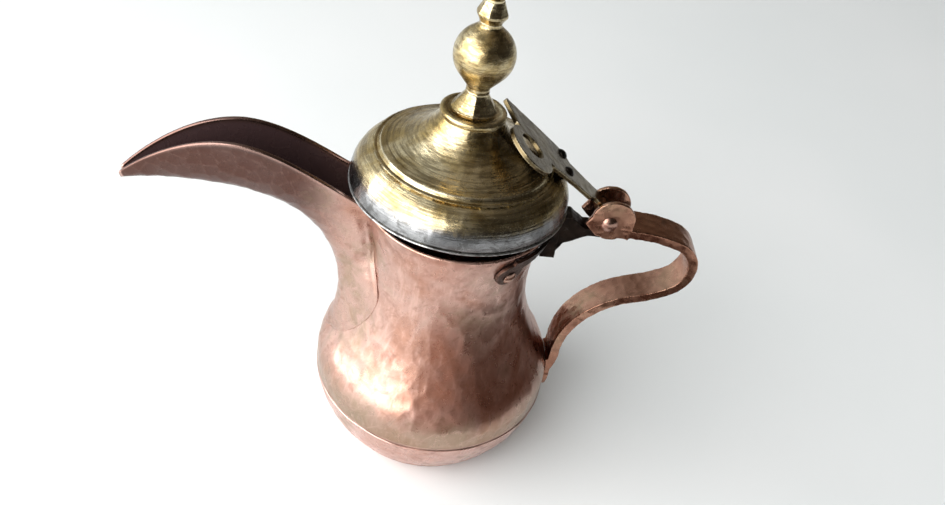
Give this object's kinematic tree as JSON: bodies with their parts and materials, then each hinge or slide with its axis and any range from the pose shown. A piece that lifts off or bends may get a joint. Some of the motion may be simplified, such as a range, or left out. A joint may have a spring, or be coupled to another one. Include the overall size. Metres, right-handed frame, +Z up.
{
  "type": "dallah coffee pot",
  "caption": "Hammered copper coffee pot with a long open spout, strap handle and a hinged domed brass lid with a turned finial.",
  "frame": {"origin": "middle of the flat base, on the surface the pot stands on", "axes": "+Z up the pot, -X towards the spout tip, +X towards the handle, Y across, along the hinge pin"},
  "size_m": [0.2719, 0.12, 0.2504],
  "materials": {
    "copper": "hammered copper, worn, brown patina",
    "brass": "turned, fine circular scratches, olive patina",
    "tinned": "worn tin wash",
    "dark_iron": "blackened, forged"
  },
  "bodies": {
    "pot": {"body_shell": "copper", "base_pan": "copper", "spout": "copper", "neck_band": "dark_iron", "hinge_tongue": "dark_iron", "band_rivets": "copper", "handle": "copper", "handle_rivets": "copper", "hinge_pin": "copper"},
    "lid": {"lid_skirt": "tinned", "lid_flange": "tinned", "lid_dome": "brass", "finial_base": "brass", "finial_bulb": "brass", "finial_knop": "brass", "finial_tip": "brass", "finial_rod": "brass", "finial_rove": "brass", "lid_strap": "brass", "strap_rivets": "dark_iron"}
  },
  "joints": [
    {"name": "lid_hinge", "type": "hinge", "parent": "pot", "child": "lid", "pos_m": [0.07, -0.0003, 0.14101], "axis": [0, 0.9959, -0.0906], "range_deg": [0, 105]}
  ]
}
